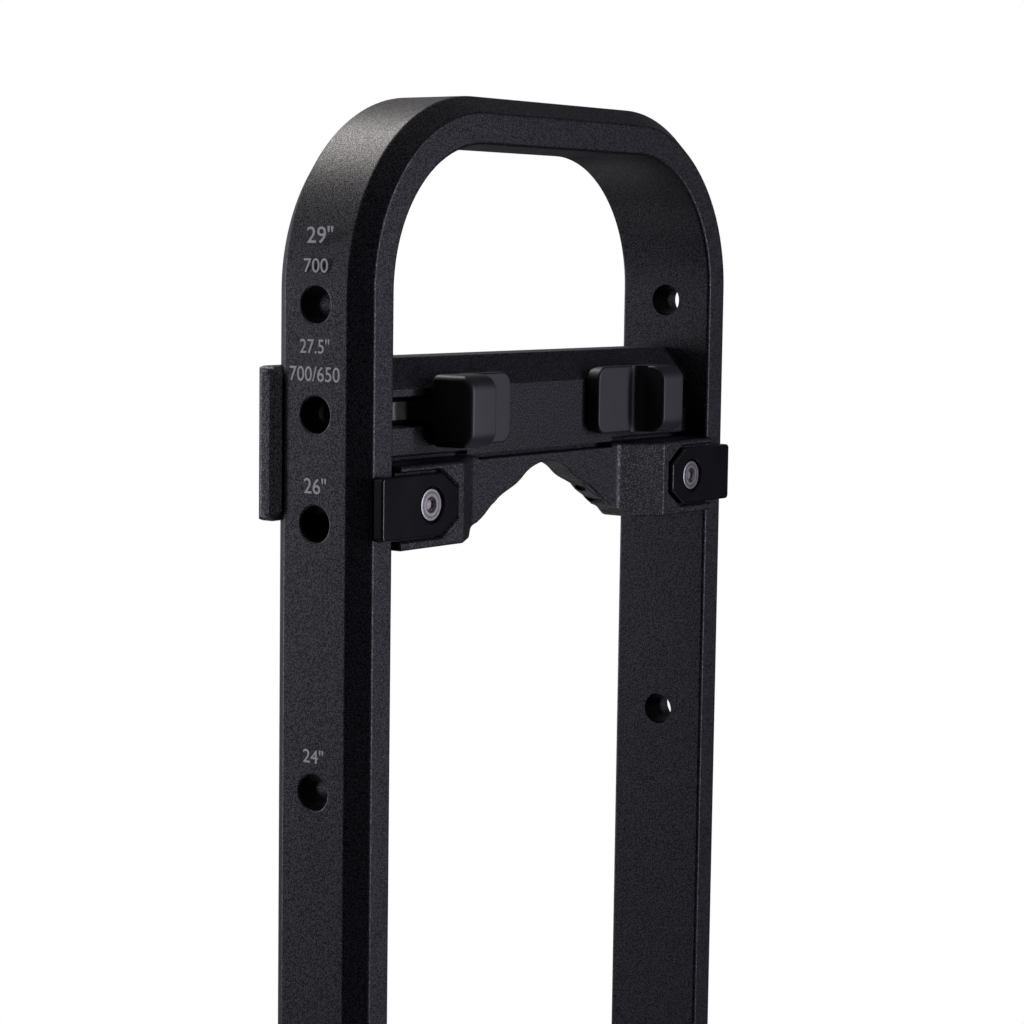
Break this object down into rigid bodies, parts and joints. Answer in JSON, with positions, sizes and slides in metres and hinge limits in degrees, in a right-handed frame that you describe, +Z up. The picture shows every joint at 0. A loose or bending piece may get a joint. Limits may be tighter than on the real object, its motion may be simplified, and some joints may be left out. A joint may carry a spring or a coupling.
{
  "type": "hitch bike rack",
  "caption": "Platform hitch bike rack for one bicycle: folding wheel hoop with a sliding tire cradle, wheel troughs, tilting arm and receiver tube.",
  "frame": {"origin": "centre of the hitch pin hole in the stinger tube", "axes": "+X towards the car along the stinger, +Y along the bicycle from front to rear wheel, +Z up"},
  "size_m": [0.6638, 1.464, 1.0368],
  "materials": {
    "powder_coat": "fine sand-textured black powder coat",
    "moulded_black": "fine textured moulded black nylon",
    "satin_black": "smooth satin black plastic",
    "rubber_black": "glossy black rubber",
    "strap_black": "flexible black toothed strap",
    "stainless": "bright stainless steel",
    "zinc": "zinc plated steel",
    "cast_wedge": "blackened cast wedge"
  },
  "bodies": {
    "hitch_arm": {"stinger_tube": "powder_coat", "bracket_plates": "powder_coat", "stinger_end_plug": "moulded_black", "tilt_pivot_bolt": "zinc", "tilt_pivot_nut": "zinc", "tilt_lock_housing": "zinc", "tilt_lock_cap": "zinc", "tilt_lock_spring": "stainless"},
    "anti_rattle_screw": {"anti_rattle_rod": "zinc", "anti_rattle_knob": "moulded_black"},
    "wedge_nut": {"anti_rattle_nut": "zinc"},
    "wedge": {"anti_rattle_wedge": "cast_wedge"},
    "tilt_lock": {"tilt_lock_pin": "stainless", "tilt_lock_handle": "moulded_black"},
    "rack_arm": {"spine_tube": "powder_coat", "spine_end_cap": "moulded_black", "index_plates": "powder_coat", "spine_sleeve": "zinc", "beam_saddle": "powder_coat", "saddle_bolts": "zinc", "tray_beam": "powder_coat", "beam_end_caps": "moulded_black", "hoop_bracket": "powder_coat", "bracket_bolts": "zinc", "front_tray": "moulded_black", "hoop_pivot_bolts": "zinc", "hoop_pivot_nut": "zinc"},
    "rear_wheel_holder": {"rear_tray": "moulded_black", "rear_clamp": "powder_coat", "strap_anchors": "moulded_black", "wheel_strap": "strap_black", "strap_screw": "zinc", "buckle_base": "moulded_black", "buckle_pin": "stainless"},
    "rear_clamp_screw": {"rear_clamp_bolt": "zinc", "rear_clamp_knob": "moulded_black"},
    "strap_buckle": {"buckle_lever": "moulded_black"},
    "wheel_hoop": {"hoop_frame": "powder_coat", "left_foot_plug": "moulded_black", "right_foot_plug": "moulded_black"},
    "hoop_knob": {"hoop_lock_knob": "moulded_black"},
    "cradle": {"cradle_body": "moulded_black", "left_pad": "rubber_black", "right_pad": "rubber_black", "pad_screws": "stainless", "left_clip_plate": "satin_black", "right_clip_plate": "satin_black", "clip_bolts": "stainless", "clip_nuts": "zinc", "left_back_guide": "satin_black", "right_back_guide": "satin_black", "left_spring": "stainless", "right_spring": "stainless"},
    "left_latch": {"left_tab": "satin_black", "left_lock_pin": "stainless"},
    "right_latch": {"right_tab": "satin_black", "right_lock_pin": "stainless"}
  },
  "joints": [
    {"name": "rack_tilt", "type": "hinge", "parent": "hitch_arm", "child": "rack_arm", "pos_m": [-0.19, 0, 0.08], "axis": [0, 1, 0], "range_deg": [-35, 90]},
    {"name": "tilt_lock_slide", "type": "slide", "parent": "hitch_arm", "child": "tilt_lock", "axis": [0, -1, 0], "range_m": [0, 0.014], "deforming": ["tilt_lock_spring"]},
    {"name": "anti_rattle_turn", "type": "hinge", "parent": "hitch_arm", "child": "anti_rattle_screw", "pos_m": [0, 0, -0.01365], "axis": [1, 0, 0], "range_deg": [0, 720]},
    {"name": "wedge_nut_slide", "type": "slide", "parent": "hitch_arm", "child": "wedge_nut", "axis": [-1, 0, 0], "range_m": [0, 0.003]},
    {"name": "wedge_slide", "type": "slide", "parent": "hitch_arm", "child": "wedge", "axis": [-0.5, 0, 0.866], "range_m": [0, 0.006]},
    {"name": "hoop_fold", "type": "hinge", "parent": "rack_arm", "child": "wheel_hoop", "pos_m": [-0.4, -0.56, 0.185], "axis": [1, 0, 0], "range_deg": [-90, 70]},
    {"name": "hoop_knob_turn", "type": "hinge", "parent": "rack_arm", "child": "hoop_knob", "pos_m": [-0.4, -0.56, 0.185], "axis": [1, 0, 0], "range_deg": [0, 360]},
    {"name": "cradle_slide", "type": "slide", "parent": "wheel_hoop", "child": "cradle", "axis": [0, 0, 1], "range_m": [-0.1331, 0.0381]},
    {"name": "left_latch_slide", "type": "slide", "parent": "cradle", "child": "left_latch", "axis": [-1, 0, 0], "range_m": [0, 0.0108], "deforming": ["left_spring"]},
    {"name": "right_latch_slide", "type": "slide", "parent": "cradle", "child": "right_latch", "axis": [1, 0, 0], "range_m": [0, 0.0108], "deforming": ["right_spring"]},
    {"name": "rear_tray_slide", "type": "slide", "parent": "rack_arm", "child": "rear_wheel_holder", "axis": [0, 1, 0], "range_m": [-0.11, 0.1]},
    {"name": "rear_clamp_turn", "type": "hinge", "parent": "rear_wheel_holder", "child": "rear_clamp_screw", "pos_m": [-0.4, 0.56, 0], "axis": [0, 0, 1], "range_deg": [0, 360]},
    {"name": "buckle_open", "type": "hinge", "parent": "rear_wheel_holder", "child": "strap_buckle", "pos_m": [-0.4625, 0.655, 0.201], "axis": [0, -1, 0], "range_deg": [0, 95]}
  ],
  "couplings": [
    {"joint": "anti_rattle_turn", "follows": "wedge_slide", "rad_per_m": 2094.4},
    {"joint": "wedge_nut_slide", "follows": "wedge_slide", "ratio": 0.5}
  ]
}
